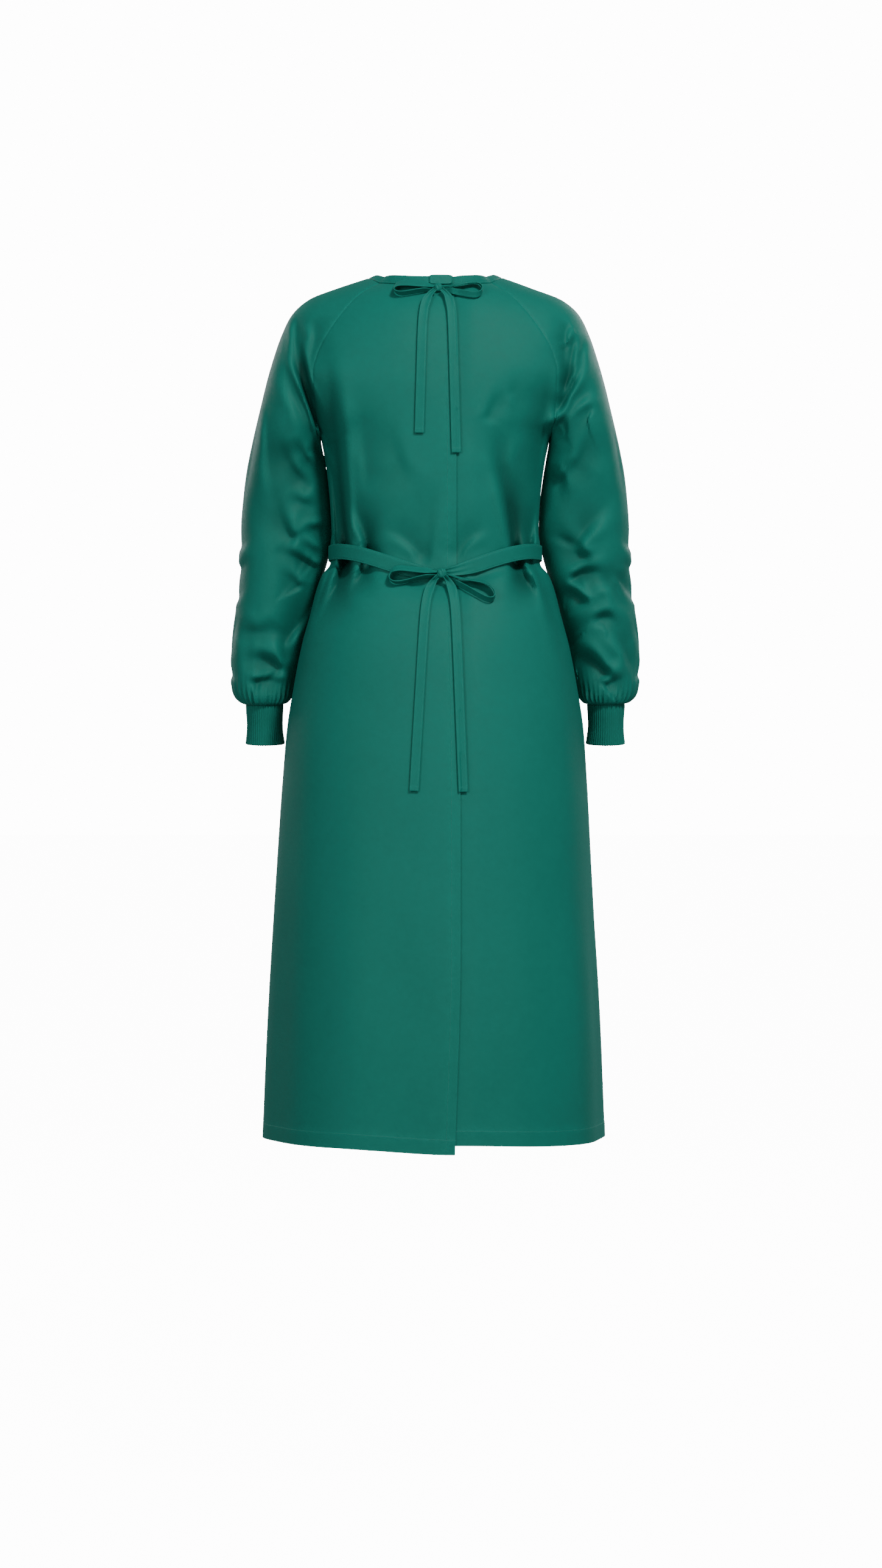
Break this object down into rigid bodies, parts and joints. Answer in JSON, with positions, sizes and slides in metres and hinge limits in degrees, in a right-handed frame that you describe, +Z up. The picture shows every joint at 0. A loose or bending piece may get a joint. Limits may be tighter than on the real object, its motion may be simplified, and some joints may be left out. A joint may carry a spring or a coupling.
{
  "type": "surgical gown",
  "caption": "Long cloth gown with raglan sleeves, knitted cuffs, a bound round neck, an overlapping open back, and ties in bows at the neck and waist.",
  "frame": {"origin": "middle of the neck opening, level with the top of the shoulders, where the wearer carries the gown", "axes": "+Z up; the back of the gown, with its opening and bows, faces -Y; +X is towards the wearer's right sleeve"},
  "size_m": [0.5428, 0.3689, 1.1358],
  "materials": {
    "gown_cloth": "fine woven cloth with a soft sheen",
    "rib_knit": "ribbed knit"
  },
  "bodies": {
    "root": {"front": "gown_cloth", "back_left": "gown_cloth", "back_right": "gown_cloth", "sleeve_left": "gown_cloth", "sleeve_right": "gown_cloth", "cuff_left": "rib_knit", "cuff_right": "rib_knit", "neck_binding": "gown_cloth", "neck_tab": "gown_cloth", "belt": "gown_cloth", "neck_bow_knot": "gown_cloth", "neck_bow_loop_left": "gown_cloth", "neck_bow_loop_right": "gown_cloth", "neck_bow_tail_left": "gown_cloth", "neck_bow_tail_right": "gown_cloth", "waist_bow_knot": "gown_cloth", "waist_bow_loop_left": "gown_cloth", "waist_bow_loop_right": "gown_cloth", "waist_bow_tail_left": "gown_cloth", "waist_bow_tail_right": "gown_cloth"}
  },
  "joints": []
}
